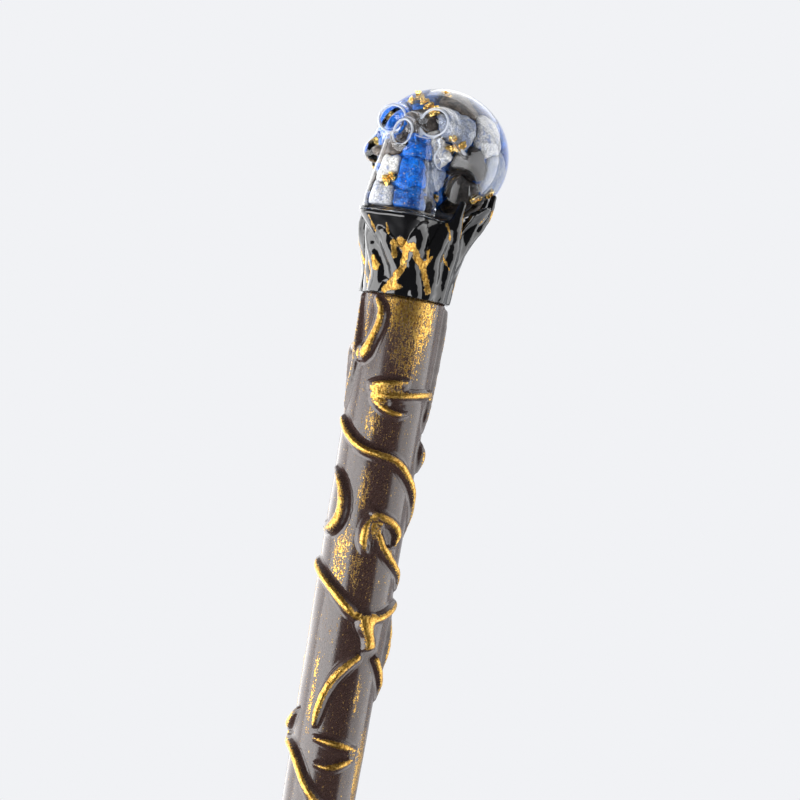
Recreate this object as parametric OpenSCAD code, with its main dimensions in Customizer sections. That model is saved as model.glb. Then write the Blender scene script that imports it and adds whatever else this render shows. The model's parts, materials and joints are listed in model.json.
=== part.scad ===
// Skull-topped magic wand: a tapered brown shaft with raised gold-edged vines, a black collar of
// melted roots, and a clear cast skull filled with stone chips and gold foil.
// Origin at the grip centre on the wand's axis. +Z points to the skull, and the skull faces -Y.

/* [Shaft] */
// Height of the seam between shaft and collar above the grip centre
seam_h = 60; // [50:1:70]
// Length of the shaft below the seam
shaft_len = 298; // [280:1:305]
// Radius of the shaft at the seam
shaft_top_r = 9.8; // [9.4:0.1:10.2]
// Radius lost in a straight taper over the first 100 mm
taper = 0.5; // [0.4:0.05:0.6]
// Extra radius lost over the first 100 mm, growing with the square of the length
bow = 0.37; // [0.34:0.01:0.4]
// Length of the rounded end at the tip
tip_round = 6; // [4:1:8]
// Radius of the small flat at the end of the tip
tip_flat_r = 2; // [1:0.5:3]

/* [Core rod] */
// Diameter of the wooden dowel
rod_d = 6; // [5:0.5:6]
// Height of the dowel above the seam, inside the collar
rod_rise = 12; // [8:1:13]
// Distance from the end of the dowel to the wand's tip
rod_end_gap = 30; // [25:1:60]
// Glue gap round the dowel
glue = 0.05; // [0.02:0.01:0.1]

/* [Collar] */
// Height of the cup from the seam to the underside of the skull's jaw
cup_h = 18.6; // [17:0.2:19]
// Radius of the cup at the seam
cup_foot_r = 9.9; // [9.8:0.1:10.4]
// Radius of the cup at its rim
cup_rim_r = 12.2; // [11.6:0.1:12.6]

/* [Skull] */
// Half the width of the cranium
cranium_rx = 16.5; // [16:0.1:17]
// Half the depth of the cranium
cranium_ry = 17.5; // [17:0.1:18]
// Half the height of the cranium
cranium_rz = 16; // [15.5:0.1:16.5]
// Radius of an eye socket
socket_r = 4; // [3.5:0.1:4.2]
// Half the width of the jaw block
jaw_half_w = 8; // [7.5:0.1:8.5]

/* [Vines] */
// Rings along each stretch between two route points
vine_steps = 3; // [2:1:4]

/* [Hidden] */

tip_z = seam_h - shaft_len;
rod_r = rod_d / 2;
bore_r = rod_r + glue;
smooth_fn = 96;

brown = [0.34, 0.25, 0.24];
antique_gold = [0.62, 0.46, 0.16];
black = [0.06, 0.06, 0.07];
clear_blue = [0.75, 0.84, 0.95, 0.45];

// ---- Shaft ----

// Radius of the bare shaft at a drop below the seam
function shaft_r(s) = shaft_top_r - taper * s / 100 - bow * s * s / 10000;

// Half outline of the shaft from the seam to the start of the rounded tip
shaft_rows = 24;
shaft_side = [
    for (i = [0:shaft_rows])
        let (s = (shaft_len - tip_round) * i / shaft_rows)
        [shaft_r(s), seam_h - s]
];

// Quarter ellipse from the shaft's side to the flat at the tip
tip_r = shaft_r(shaft_len - tip_round);
tip_side = [
    for (a = [15:15:90])
        [tip_flat_r + (tip_r - tip_flat_r) * cos(a), tip_z + tip_round * (1 - sin(a))]
];

module core_rod() {
    color([0.78, 0.62, 0.42])
    translate([0, 0, tip_z + rod_end_gap])
    cylinder(r = rod_r, h = shaft_len - rod_end_gap + rod_rise, $fn = smooth_fn);
}

module shaft_sleeve() {
    bore_floor = tip_z + rod_end_gap - glue;
    color(brown)
    difference() {
        rotate_extrude($fn = smooth_fn)
        polygon(concat([[0, seam_h]], shaft_side, tip_side, [[0, tip_z]]));
        translate([0, 0, bore_floor])
        cylinder(r = bore_r, h = seam_h + 1 - bore_floor, $fn = smooth_fn);
    }
}

// ---- Collar ----

// Radius of the bare cup at a height above the seam: straight foot, then a soft flare to the rim
function cup_r(h) =
    let (t = min(1, max(0, (h - 4) / (cup_h - 6))))
    cup_foot_r + (cup_rim_r - cup_foot_r) * t * t * (3 - 2 * t);

module collar_cup() {
    shelf_h = 5;
    cup_side = [for (i = [0:9]) [cup_r(cup_h * i / 9), cup_h * i / 9]];
    color(black)
    translate([0, 0, seam_h])
    difference() {
        union() {
            rotate_extrude($fn = smooth_fn)
            polygon(concat([[0, 0]], cup_side, [[0, cup_h]]));
            // shelf that carries the jaw, which overhangs the round cup at the front
            hull() {
                translate([0, -1, cup_h - shelf_h])
                cylinder(r = cup_rim_r - 1, h = 1, $fn = 32);
                translate([0, 0, cup_h - 1])
                jaw_plan(1, 0.4);
            }
        }
        translate([0, 0, -1])
        cylinder(r = bore_r, h = 1 + rod_rise + glue, $fn = smooth_fn);
    }
}

// ---- Splines and swept strips ----

function knot(p, i) = p[max(0, min(len(p) - 1, i))];

// Point on the smooth curve through the list p, between knots i and i + 1
function curve(p, i, t) =
    let (a = knot(p, i - 1), b = knot(p, i), c = knot(p, i + 1), d = knot(p, i + 2))
    (2 * b + (c - a) * t + (2 * a - 5 * b + 4 * c - d) * t * t
        + (3 * b - a - 3 * c + d) * t * t * t) / 2;

function smooth_path(p, steps) = concat(
    [for (i = [0:len(p) - 2], j = [0:steps - 1]) curve(p, i, j / steps)],
    [p[len(p) - 1]]
);

// Skin of a tube whose rings all have the same number of points, closed by a fan at each end
module skin(rings) {
    n = len(rings[0]);
    last = (len(rings) - 1) * n;
    points = [for (ring = rings, p = ring) p];
    sides = [
        for (i = [0:len(rings) - 2], k = [0:n - 1])
            let (a = i * n + k, b = i * n + (k + 1) % n)
            each [[a, b, b + n], [a, b + n, a + n]]
    ];
    caps = [for (k = [1:n - 2]) each [[0, k + 1, k], [last, last + k, last + k + 1]]];
    polyhedron(points = points, faces = concat(sides, caps));
}

// Point above the shaft's surface, from an angle, a drop below the seam and a lift
function on_shaft(angle, drop, lift) =
    let (r = shaft_r(drop) + lift)
    [r * cos(angle), r * sin(angle), seam_h - drop];

// A half-round strip laid on the shaft. Route points are [angle, drop, half width, height].
arch_points = 6;
module vine(route) {
    path = smooth_path(route, vine_steps);
    function arc_mm(p) = shaft_r(p[1]) * p[0] * PI / 180;
    skin([
        for (i = [0:len(path) - 1])
            let (
                p = path[i],
                before = knot(path, i - 1),
                after = knot(path, i + 1),
                dx = arc_mm(after) - arc_mm(before),
                dy = after[1] - before[1],
                size = max(0.001, norm([dx, dy])),
                across = [-dy / size, dx / size],
                degrees = 180 / PI / shaft_r(p[1])
            )
            concat(
                [
                    for (k = [0:arch_points])
                        let (t = 180 * k / arch_points, w = p[2] * cos(t))
                        on_shaft(
                            p[0] + w * across[0] * degrees,
                            p[1] + w * across[1],
                            glue + p[3] * sin(t)
                        )
                ],
                [on_shaft(p[0], p[1], glue)]
            )
    ]);
}

// A round strand above the seam. Route points are [angle, distance from the axis, height, radius].
strand_sides = 8;
module strand(route) {
    path = smooth_path(route, 3);
    function place(p) = [p[1] * cos(p[0]), p[1] * sin(p[0]), seam_h + p[2]];
    skin([
        for (i = [0:len(path) - 1])
            let (
                p = path[i],
                way = place(knot(path, i + 1)) - place(knot(path, i - 1)),
                along = way / norm(way),
                side_raw = cross(along, [cos(p[0]), sin(p[0]), 0]),
                side = side_raw / norm(side_raw),
                up = cross(side, along)
            )
            [
                for (k = [0:strand_sides - 1])
                    let (t = 360 * k / strand_sides)
                    place(p) + p[3] * (cos(t) * side + sin(t) * up)
            ]
    ]);
}

module strands(routes) {
    color(black)
    for (route = routes) strand(route);
}

// The strands run up the cup, bridge outwards and clasp the underside of the skull.
module front_roots() strands([
    [
        [-48, 9.9, 0.6, 0.8], [-56, 10.1, 4, 1.2], [-62, 10.8, 8, 1.5],
        [-58, 12, 12, 1.4], [-60, 12.8, 16, 1.1]
    ],
    [
        [-78, 9.9, 0.6, 0.8], [-73, 10.1, 3, 1.2], [-80, 10.8, 7, 1.2],
        [-92, 11.6, 11, 1.3], [-98, 12.8, 16, 1.0]
    ],
    [
        [-112, 9.9, 0.6, 0.9], [-106, 10.2, 5, 1.3], [-114, 11, 9, 1.4],
        [-120, 12, 13, 1.3], [-118, 12.8, 17, 0.9]
    ]
]);

module near_roots() strands([
    [
        [-32, 9.9, 0.6, 0.9], [-30, 10.2, 5, 1.6], [-36, 11.2, 9, 1.5],
        [-32, 12.2, 13, 1.3], [-28, 12.6, 17, 0.9]
    ],
    [
        [-8, 9.9, 0.6, 1.0], [-10, 10.4, 6, 1.5], [-8, 11.4, 11, 1.2],
        [-16, 12.6, 16, 1.3], [-18, 13.3, 20, 1.3], [-16, 13.6, 24, 0.8]
    ],
    [
        [14, 9.8, 0.6, 1.0], [16, 9.9, 5, 1.2], [22, 10.4, 10, 1.2], [26, 11.4, 14.4, 1.3],
        [29, 14.4, 19, 1.4], [31, 16.4, 23.6, 1.2], [32, 17.2, 28, 0.6]
    ],
    [
        [4, 11.0, 8, 0.7], [8, 12.2, 13, 0.9], [6, 14.0, 18, 1.0],
        [10, 15.0, 22, 0.9], [16, 15.8, 26, 0.5]
    ]
]);

module back_roots() strands([
    [
        [48, 9.9, 0.6, 1.0], [50, 10.4, 6, 1.3], [54, 11.4, 12, 1.3],
        [58, 14.6, 17, 1.3], [56, 18.2, 22, 1.1], [52, 19.4, 26, 0.6]
    ],
    [
        [80, 9.9, 0.6, 1.0], [76, 10.8, 6, 1.4], [82, 13.2, 11, 1.4],
        [86, 17.4, 16, 1.3], [84, 20.6, 21, 1.2], [86, 22.0, 26, 0.6]
    ],
    [
        [108, 9.9, 0.6, 1.0], [112, 10.6, 5, 1.3], [106, 12.8, 11, 1.5],
        [104, 16.6, 16, 1.3], [108, 19.4, 21, 1.1], [112, 20.4, 25, 0.6]
    ]
]);

module far_roots() strands([
    [
        [142, 9.9, 0.6, 1.1], [138, 10.4, 6, 1.4], [144, 12.0, 12, 1.3],
        [146, 14.8, 18, 1.3], [142, 17.0, 23, 1.1], [144, 17.6, 27, 0.6]
    ],
    [
        [172, 9.9, 0.6, 1.0], [176, 10.4, 5, 1.3], [170, 11.4, 11, 1.4],
        [176, 12.8, 17, 1.3], [172, 14.4, 22, 1.0], [168, 15.2, 25, 0.6]
    ],
    [
        [206, 9.8, 0.6, 0.9], [200, 9.7, 5, 1.2], [206, 11.0, 10, 1.3],
        [214, 12.4, 14, 1.1], [210, 12.8, 17, 0.9]
    ]
]);

// ---- Skull ----

cranium_y = 5.9;
cranium_z = cup_h + 16.9;
jaw_front_y = -16.4;
jaw_back_y = -1;
jaw_corner_r = 4;
face_side = [-1, 1];

// Plan of the jaw block, a rectangle with round corners, as a plate of the given thickness
module jaw_plan(thick, grow) {
    hull()
    for (x = face_side, y = [jaw_front_y + jaw_corner_r, jaw_back_y - jaw_corner_r])
        translate([x * (jaw_half_w - jaw_corner_r), y, 0])
        cylinder(r = jaw_corner_r + grow, h = thick, $fn = 32);
}

module ellipsoid(centre, radii, fn) {
    translate(centre)
    scale(radii)
    sphere(r = 1, $fn = fn);
}

// Everything below is placed by its height above the seam.
module skull_bone() {
    // cranium and brow
    hull() {
        ellipsoid([0, cranium_y, cranium_z], [cranium_rx, cranium_ry, cranium_rz], 40);
        for (x = face_side) ellipsoid([x * 5.8, -8.5, 40.5], [4.4, 3, 4.2], 16);
    }
    // nose bridge and upper jaw
    hull() {
        ellipsoid([0, -11, 41.5], [2.2, 3, 2.6], 16);
        for (x = face_side) ellipsoid([x * 4, -11, 31], [4.4, 4, 3], 16);
        translate([0, 0, cup_h]) jaw_plan(1, 0);
        translate([0, 0, cup_h + 7]) jaw_plan(1, -0.8);
    }
    // cheekbones with their arches
    for (x = face_side) hull() {
        ellipsoid([x * 9.4, -8.6, 33.4], [3.6, 3.4, 3.2], 20);
        ellipsoid([x * 13.2, 1, 33], [1.8, 2.6, 2], 12);
    }
}

// Hollows on the skull's left, mirrored to its right: eye socket, temple and the gap behind the jaw
socket_at = [5.4, -12, 41.4];
socket_radii = [socket_r, 5, socket_r];
temple_at = [14.6, -8.5, 40.5];
temple_radii = [3, 5, 4.5];
fossa_at = [11.6, -3.5, 25.5];
fossa_radii = [3.8, 5.5, 5.5];
nose_at = [0, -15.6, 37.2];
nose_radii = [2.4, 3.4, 3.2];

module skull_hollows() {
    for (x = face_side)
        mirror([x < 0 ? 1 : 0, 0, 0]) {
            ellipsoid(socket_at, socket_radii, 24);
            ellipsoid(temple_at, temple_radii, 16);
            ellipsoid(fossa_at, fossa_radii, 20);
        }
    ellipsoid(nose_at, nose_radii, 20);
}

module skull_casting() {
    color(clear_blue)
    translate([0, 0, seam_h])
    difference() {
        skull_bone();
        skull_hollows();
    }
}

// ---- Stone chips and gold foil ----

// Stones stand in columns in the face and lie in rings in the cranium. A letter gives the kind of each:
// L lapis, Q quartz, S smoky quartz.

// Columns in the face: [x, distance behind the front stones, kinds from the jaw up]
face_columns = [[-3.5, 0, "QQS"], [2.5, 0, "LLL"], [4.5, 4.5, "SQQ"]];
face_rows = [22, 28.5, 35];
face_stone_y = -12.5;

// The face leans back above this height, by this much for each millimetre of height
lean_start = 30;
lean = 0.3;

// Rings in the cranium: [latitude, share of the radius, turn of the first, step, kinds]
cranium_rings = [
    [55, 0.72, -105, 60, "LSLQSL"],
    [22, 0.78, -130, 40, "LSQQLQSLQ"],
    [-12, 0.76, -30, 40, "SQLQSQLS"],
    [-42, 0.72, -25, 50, "SSQLQSL"]
];

// Stones on the cranium's upright axis: [share of its half height, kind]
axis_stones = [[-0.65, "Q"], [0, "L"], [0.75, "Q"]];

// Greatest distance that a stone lies off its place in the pattern
stone_jitter = 0.6;

// Point inside the cranium, in a direction from its centre, on an ellipsoid with the given half sizes
function in_direction(lon, lat, radii) =
    [0, cranium_y, cranium_z]
    + [radii.x * cos(lat) * cos(lon), radii.y * cos(lat) * sin(lon), radii.z * sin(lat)];

cranium_radii = [cranium_rx, cranium_ry, cranium_rz];

pattern = concat(
    [
        for (c = face_columns, row = [0:len(face_rows) - 1])
            let (z = face_rows[row])
            [[c[0], face_stone_y + c[1] + lean * max(0, z - lean_start), z], c[2][row]]
    ],
    [
        for (ring = cranium_rings, k = [0:len(ring[4]) - 1])
            [in_direction(ring[2] + ring[3] * k, ring[0], ring[1] * cranium_radii), ring[4][k]]
    ],
    [for (a = axis_stones) [[0, cranium_y, cranium_z + a[0] * cranium_rz], a[1]]]
);

jitter = rands(-stone_jitter, stone_jitter, 3 * len(pattern), 8);
stones = [
    for (i = [0:len(pattern) - 1])
        pattern[i][0] + [jitter[3 * i], jitter[3 * i + 1], jitter[3 * i + 2]]
];

// Thickness of the clear skin over the stones and over the hollows, and of the resin between stones
stone_skin = 1.3;
hollow_skin = 0.8;
stone_gap = 0.3;
// Greatest reach of a stone from its centre, and the step in which it is found
stone_reach = 5.6;
reach_step = 0.2;

function in_ellipsoid(p, centre, radii, grow) =
    norm([for (k = [0:2]) (p[k] - centre[k]) / (radii[k] + grow)]) < 1;

// Whether a point lies in the cranium, under its skin
function in_cranium(p) =
    in_ellipsoid(p, [0, cranium_y, cranium_z], [cranium_rx, cranium_ry, cranium_rz], -stone_skin);

// Whether a point lies in the jaw and face, under their skin
face_skin = 2.2;
face_top = 39;
function in_face(q) =
    q.x < jaw_half_w - face_skin
    && q.y < jaw_back_y - stone_skin
    && q.y > jaw_front_y + face_skin + lean * max(0, q.z - lean_start)
    && q.z < face_top;

function in_hollow(q, centre, radii) = in_ellipsoid(q, centre, radii, hollow_skin);

// Whether a point lies in the skull and clear of its skin and hollows
function in_fill(p) =
    let (q = [abs(p.x), p.y, p.z])
    (in_cranium(p) || in_face(q))
    && q.z > cup_h + hollow_skin
    && !in_hollow(q, socket_at, socket_radii)
    && !in_hollow(q, temple_at, temple_radii)
    && !in_hollow(q, fossa_at, fossa_radii)
    && !in_hollow(q, nose_at, nose_radii);

// Distance that a stone can grow from its centre c along u before it leaves the fill
function room(c, u, r = 0.4) =
    r >= stone_reach || !in_fill(c + (r + reach_step) * u) ? r : room(c, u, r + reach_step);

// A stone fills the space that is nearer to its own centre than to any other
function stone_radius(i, u) =
    let (c = stones[i])
    min(concat(
        [room(c, u)],
        [
            for (j = [0:len(stones) - 1])
                let (d = stones[j] - c, facing = j == i ? 0 : u * d / norm(d))
                if (facing > 0.05) (norm(d) - stone_gap) / 2 / facing
        ]
    ));

// Rings of points round a stone, up to a latitude, each point turned a little at random
stone_rings = 4;
stone_sides = 8;
ring_lat = 57;
stone_wobble = 9;

module stone(i) {
    count = stone_rings * stone_sides;
    wobble = rands(-stone_wobble, stone_wobble, 2 * count, i + 5);
    translate([0, 0, seam_h])
    skin([
        for (row = [0:stone_rings - 1])
            [
                for (k = [0:stone_sides - 1])
                    let (
                        n = stone_sides * row + k,
                        lat = ring_lat * (2 * row / (stone_rings - 1) - 1) + wobble[n],
                        lon = 360 * k / stone_sides + wobble[count + n],
                        u = [cos(lat) * cos(lon), cos(lat) * sin(lon), sin(lat)]
                    )
                    stones[i] + stone_radius(i, u) * u
            ]
    ]);
}

module stones_of(kind) {
    for (i = [0:len(stones) - 1])
        if (pattern[i][1] == kind) stone(i);
}

module lapis_chips() {
    color([0.05, 0.25, 0.72])
    stones_of("L");
}

module quartz_chips() {
    color([0.72, 0.73, 0.74])
    stones_of("Q");
}

module smoky_chips() {
    color([0.25, 0.22, 0.2])
    stones_of("S");
}

// Thin flakes of foil under the clear skin
foil_t = 0.12;
foil_half = 1.2;
foil_depth = 1.1;
flake_outline = [[-1, -0.4], [-0.2, -0.8], [0.9, -0.5], [0.6, 0.3], [1, 0.7], [-0.3, 0.9], [-0.5, 0.2]];

// Flakes in the cranium: [longitude, latitude, flakes in the cluster], spread by an angle
foil_clusters = [
    [-110, 50, 3], [-90, 40, 2], [-70, 65, 1], [-75, 35, 1], [-50, 5, 3], [-5, -40, 1],
    [10, -30, 1], [180, -15, 1], [135, 15, 1], [75, 0, 1], [115, -25, 1]
];
foil_spread = 6;

// Flakes in the jaw: [x, y, height above the seam]
jaw_flakes = [[-2.5, -14, 26], [-1, -14, 27], [6, -5, 24]];

flakes = concat(
    jaw_flakes,
    [
        for (c = foil_clusters, k = [0:c[2] - 1])
            let (spread = c[2] > 1 ? foil_spread : 0)
            in_direction(
                c[0] + spread * cos(120 * k), c[1] + spread * sin(120 * k),
                cranium_radii - [1, 1, 1] * foil_depth
            )
    ]
);

module gold_foil() {
    color([0.95, 0.72, 0.2])
    for (i = [0:len(flakes) - 1])
        translate(flakes[i] + [0, 0, seam_h])
        rotate([40 * sin(61 * i), 50 * cos(37 * i), 55 * i])
        linear_extrude(foil_t)
        polygon(foil_half * (1 - 0.08 * (i % 4)) * flake_outline);
}

// ---- Vines: each route lists [angle, drop below the seam, half width, height] ----

module applied(route) {
    color(antique_gold)
    vine(route);
}

module neck_curl() applied([
    [-103, 1, 0.8, 0.7], [-91, 3.5, 1.1, 1.1], [-90, 7, 1.2, 1.3],
    [-97, 11, 1.3, 1.4], [-105, 14.5, 1.5, 1.5], [-108, 16.5, 0.5, 0.5]
]);

module left_vein() applied([
    [-138, 1, 0.7, 0.7], [-131, 7, 1.0, 1.0], [-126, 13, 1.1, 1.1],
    [-126, 18, 1.0, 1.0], [-132, 24, 0.9, 0.9], [-138, 28, 0.5, 0.5]
]);

module left_twig() applied([
    [-134, 12, 0.5, 0.5], [-146, 13.5, 1.0, 1.1], [-158, 17, 1.0, 1.1],
    [-168, 23, 0.9, 0.9], [-174, 31, 0.4, 0.4]
]);

module right_ridge() applied([
    [26, 1, 0.9, 0.9], [28, 6, 1.2, 1.2], [30, 12, 1.2, 1.2],
    [27, 18, 1.1, 1.1], [18, 24, 1.0, 1.0], [12, 28, 0.9, 0.9], [16, 31, 0.4, 0.4]
]);

module pod_upper_lip() applied([
    [-94, 21.6, 0.5, 0.5], [-76, 20.9, 0.9, 1.1], [-56, 20.2, 0.9, 1.1], [-34, 19.5, 0.4, 0.4]
]);

module pod_stem() applied([
    [-88, 23, 0.5, 0.5], [-74, 23.4, 0.8, 1.0], [-56, 23.4, 0.9, 1.1], [-28, 22.6, 1.0, 1.2],
    [0, 21.8, 1.0, 1.1], [12, 21.5, 0.6, 0.6]
]);

module pod_lower_lip() applied([
    [-86, 24.6, 0.4, 0.4], [-72, 26, 0.9, 1.0], [-50, 27.4, 1.0, 1.2], [-28, 27, 0.4, 0.4]
]);

module diagonal_vine() applied([
    [-137, 30, 0.9, 0.9], [-127, 31.4, 1.2, 1.2], [-114, 33.4, 1.2, 1.3], [-98, 35.4, 1.2, 1.3],
    [-80, 36.8, 1.2, 1.3], [-60, 37.4, 1.2, 1.3], [-38, 38.2, 1.2, 1.4], [-18, 40.6, 1.2, 1.4],
    [6, 44.4, 1.2, 1.3], [27, 49, 1.1, 1.2], [48, 55, 0.9, 0.9], [62, 61, 0.4, 0.4]
]);

module left_bud() applied([
    [-134, 42, 0.6, 0.6], [-114, 44.4, 1.2, 1.3], [-102, 48.4, 1.4, 1.6], [-101, 52.8, 1.5, 1.7],
    [-111, 56, 1.7, 1.7], [-129, 56.8, 1.1, 1.1], [-142, 55, 0.5, 0.5]
]);

module right_bud() applied([
    [14, 33, 0.5, 0.5], [18, 35.4, 1.6, 1.5], [20, 38, 1.5, 1.4], [18, 40.6, 0.5, 0.5]
]);

module hook_leg() applied([
    [-58, 52.6, 0.8, 0.9], [-62, 55, 1.1, 1.3], [-62, 58, 1.2, 1.3], [-56, 60.6, 0.7, 0.7]
]);

module hook_arch() applied([
    [-57, 50.8, 0.7, 0.7], [-42, 51.6, 1.1, 1.2], [-23, 53, 1.2, 1.3], [-10, 55.4, 1.2, 1.3],
    [-13, 58.4, 0.6, 0.6]
]);

module hook_tendril() applied([
    [-47, 53.8, 0.5, 0.5], [-41, 56.4, 1.0, 1.2], [-31, 59.2, 1.1, 1.2], [-12, 62, 1.1, 1.2],
    [12, 65, 1.0, 1.1], [26, 69, 0.5, 0.5]
]);

module fork_left_arm() applied([
    [-150, 64, 0.7, 0.7], [-136, 65.8, 1.3, 1.3], [-106, 68.8, 1.2, 1.3],
    [-82, 72, 1.3, 1.4], [-65, 74.4, 1.3, 1.4], [-55, 75.6, 1.0, 1.1]
]);

module fork_right_arm() applied([
    [46, 71.4, 0.4, 0.4], [27, 72, 1.1, 1.1], [8, 73.4, 1.2, 1.3],
    [-9, 74.8, 1.2, 1.3], [-26, 75.8, 1.1, 1.2]
]);

module fork_stem() applied([
    [-42, 74.8, 2.0, 1.0], [-39, 77, 2.1, 1.4], [-31, 80, 1.7, 1.4], [-25, 83, 2.0, 1.3]
]);

module fork_left_leg() applied([
    [-40, 84.8, 1.1, 1.2], [-57, 87.6, 1.2, 1.4], [-72, 91.2, 1.2, 1.3], [-82, 95.4, 1.1, 1.3],
    [-87, 99.4, 1.1, 1.2], [-89, 103, 0.7, 0.7]
]);

module fork_right_leg() applied([
    [-12, 84.8, 1.0, 1.2], [4, 88, 1.1, 1.3], [18, 91.4, 1.0, 1.2], [26, 95.6, 0.5, 0.5]
]);

module boat_upper_lip() applied([
    [-88, 105.4, 0.6, 0.6], [-62, 105.8, 1.1, 1.2], [-36, 106.4, 1.1, 1.2], [-14, 107, 0.5, 0.5]
]);

module boat_lower_lip() applied([
    [-80, 111.4, 0.5, 0.5], [-56, 111.6, 1.1, 1.2], [-34, 110.2, 1.1, 1.2], [-17, 109, 0.5, 0.5]
]);

module right_bead() applied([
    [25, 74.6, 0.5, 0.5], [28, 79, 1.2, 1.2], [28, 84, 1.3, 1.4], [22, 88.6, 0.5, 0.5]
]);

module left_low_vine() applied([
    [-128, 99.6, 0.5, 0.5], [-140, 102, 1.2, 1.3], [-155, 104.6, 1.4, 1.6], [-172, 105, 0.5, 0.5]
]);

module low_vine() applied([
    [-168, 107.6, 0.5, 0.5], [-146, 108, 1.2, 1.3], [-121, 109.6, 1.2, 1.3], [-105, 112.4, 1.2, 1.3],
    [-90, 116, 1.2, 1.3], [-72, 119.2, 1.2, 1.2], [-50, 122, 1.2, 1.2], [-24, 125, 1.1, 1.1],
    [6, 130, 1.0, 1.0], [34, 136, 0.9, 0.9], [58, 143, 0.4, 0.4]
]);

module back_vine() applied([
    [76, 2, 0.6, 0.6], [86, 10, 1.1, 1.1], [106, 18, 1.2, 1.3], [128, 27, 1.2, 1.3],
    [134, 38, 1.2, 1.2], [118, 49, 1.2, 1.3], [98, 59, 1.2, 1.2], [92, 70, 1.1, 1.2],
    [106, 81, 1.1, 1.2], [130, 90, 1.1, 1.1], [146, 101, 0.9, 1.0], [144, 112, 0.4, 0.4]
]);

module back_branch() applied([
    [144, 41, 0.6, 0.6], [158, 45, 1.1, 1.1], [172, 51, 1.1, 1.2], [176, 58, 0.9, 0.9], [166, 64, 0.4, 0.4]
]);

// Small buds, each given by its angle and drop
module buds(places) {
    for (b = places)
        applied([
            [b[0] - 6, b[1] - 4, 0.5, 0.5], [b[0], b[1] - 1, 1.7, 1.5],
            [b[0] + 3, b[1] + 2, 1.8, 1.6], [b[0] + 2, b[1] + 5, 0.5, 0.5]
        ]);
}

module back_buds() buds([[66, 36], [142, 74], [72, 92], [168, 88]]);

module back_leaf_upper() applied([
    [86, 104, 0.5, 0.5], [98, 101.6, 1.0, 1.1], [112, 100.6, 1.0, 1.2], [128, 102, 0.5, 0.5]
]);

module back_leaf_lower() applied([
    [86, 107, 0.5, 0.5], [98, 108.6, 1.0, 1.2], [112, 108, 1.0, 1.1], [128, 105.4, 0.5, 0.5]
]);

module tail_vine() applied([
    [100, 118, 0.5, 0.5], [130, 126, 1.0, 1.0], [165, 134, 1.1, 1.1], [200, 142, 1.1, 1.1],
    [236, 151, 1.1, 1.1], [270, 161, 1.0, 1.0], [300, 172, 1.0, 1.0], [330, 184, 0.9, 0.9],
    [362, 197, 0.8, 0.8], [392, 211, 0.7, 0.6], [412, 224, 0.3, 0.3]
]);

module tail_tendril() applied([
    [20, 146, 0.4, 0.4], [44, 154, 0.9, 0.9], [74, 163, 1.0, 1.0], [102, 174, 1.0, 1.0],
    [126, 187, 0.9, 0.9], [140, 202, 0.8, 0.8], [132, 217, 0.6, 0.6], [118, 230, 0.3, 0.3]
]);

module tail_buds() buds([[-100, 136], [10, 166], [60, 186], [-130, 170]]);

core_rod();
shaft_sleeve();
collar_cup();
front_roots();
near_roots();
back_roots();
far_roots();
skull_casting();
lapis_chips();
quartz_chips();
smoky_chips();
gold_foil();
neck_curl();
left_vein();
left_twig();
right_ridge();
pod_upper_lip();
pod_stem();
pod_lower_lip();
diagonal_vine();
left_bud();
right_bud();
hook_leg();
hook_arch();
hook_tendril();
fork_left_arm();
fork_right_arm();
fork_stem();
fork_left_leg();
fork_right_leg();
boat_upper_lip();
boat_lower_lip();
right_bead();
left_low_vine();
low_vine();
back_vine();
back_branch();
back_buds();
back_leaf_upper();
back_leaf_lower();
tail_vine();
tail_tendril();
tail_buds();
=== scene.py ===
"""Looks of the skull-topped magic wand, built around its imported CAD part.

Shapes are worked out in millimetres. A height is counted upwards from the seam between shaft and
collar, and z from the frame's own origin. An angle is counted round the wand's axis from +X towards
+Y, in degrees.
"""

import json
import math

import bmesh
import bpy
import numpy as np
from mathutils import Matrix, Vector
from mathutils.bvhtree import BVHTree


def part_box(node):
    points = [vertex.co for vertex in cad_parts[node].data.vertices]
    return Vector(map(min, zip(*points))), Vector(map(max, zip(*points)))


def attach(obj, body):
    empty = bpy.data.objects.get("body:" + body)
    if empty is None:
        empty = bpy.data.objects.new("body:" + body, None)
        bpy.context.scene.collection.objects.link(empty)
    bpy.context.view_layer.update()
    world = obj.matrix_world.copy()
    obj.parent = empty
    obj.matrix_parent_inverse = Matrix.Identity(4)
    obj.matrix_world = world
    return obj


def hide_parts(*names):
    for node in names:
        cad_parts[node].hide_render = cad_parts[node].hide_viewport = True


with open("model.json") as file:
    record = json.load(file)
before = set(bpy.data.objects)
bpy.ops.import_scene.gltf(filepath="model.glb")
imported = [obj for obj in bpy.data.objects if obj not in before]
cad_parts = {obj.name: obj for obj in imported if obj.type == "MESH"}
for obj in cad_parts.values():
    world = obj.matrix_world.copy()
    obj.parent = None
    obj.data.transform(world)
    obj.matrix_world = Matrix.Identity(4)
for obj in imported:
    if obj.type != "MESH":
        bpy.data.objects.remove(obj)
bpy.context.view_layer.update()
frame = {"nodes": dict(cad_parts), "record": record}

MM = 0.001
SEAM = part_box("collar_cup")[0].z / MM
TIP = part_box("shaft_sleeve")[0].z / MM
CUP_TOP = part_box("collar_cup")[1].z / MM - SEAM


# ---- Seeded noise ----

LATTICE = 32
_lattice = np.random.default_rng(7).uniform(-1, 1, (LATTICE, LATTICE, LATTICE))


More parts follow.
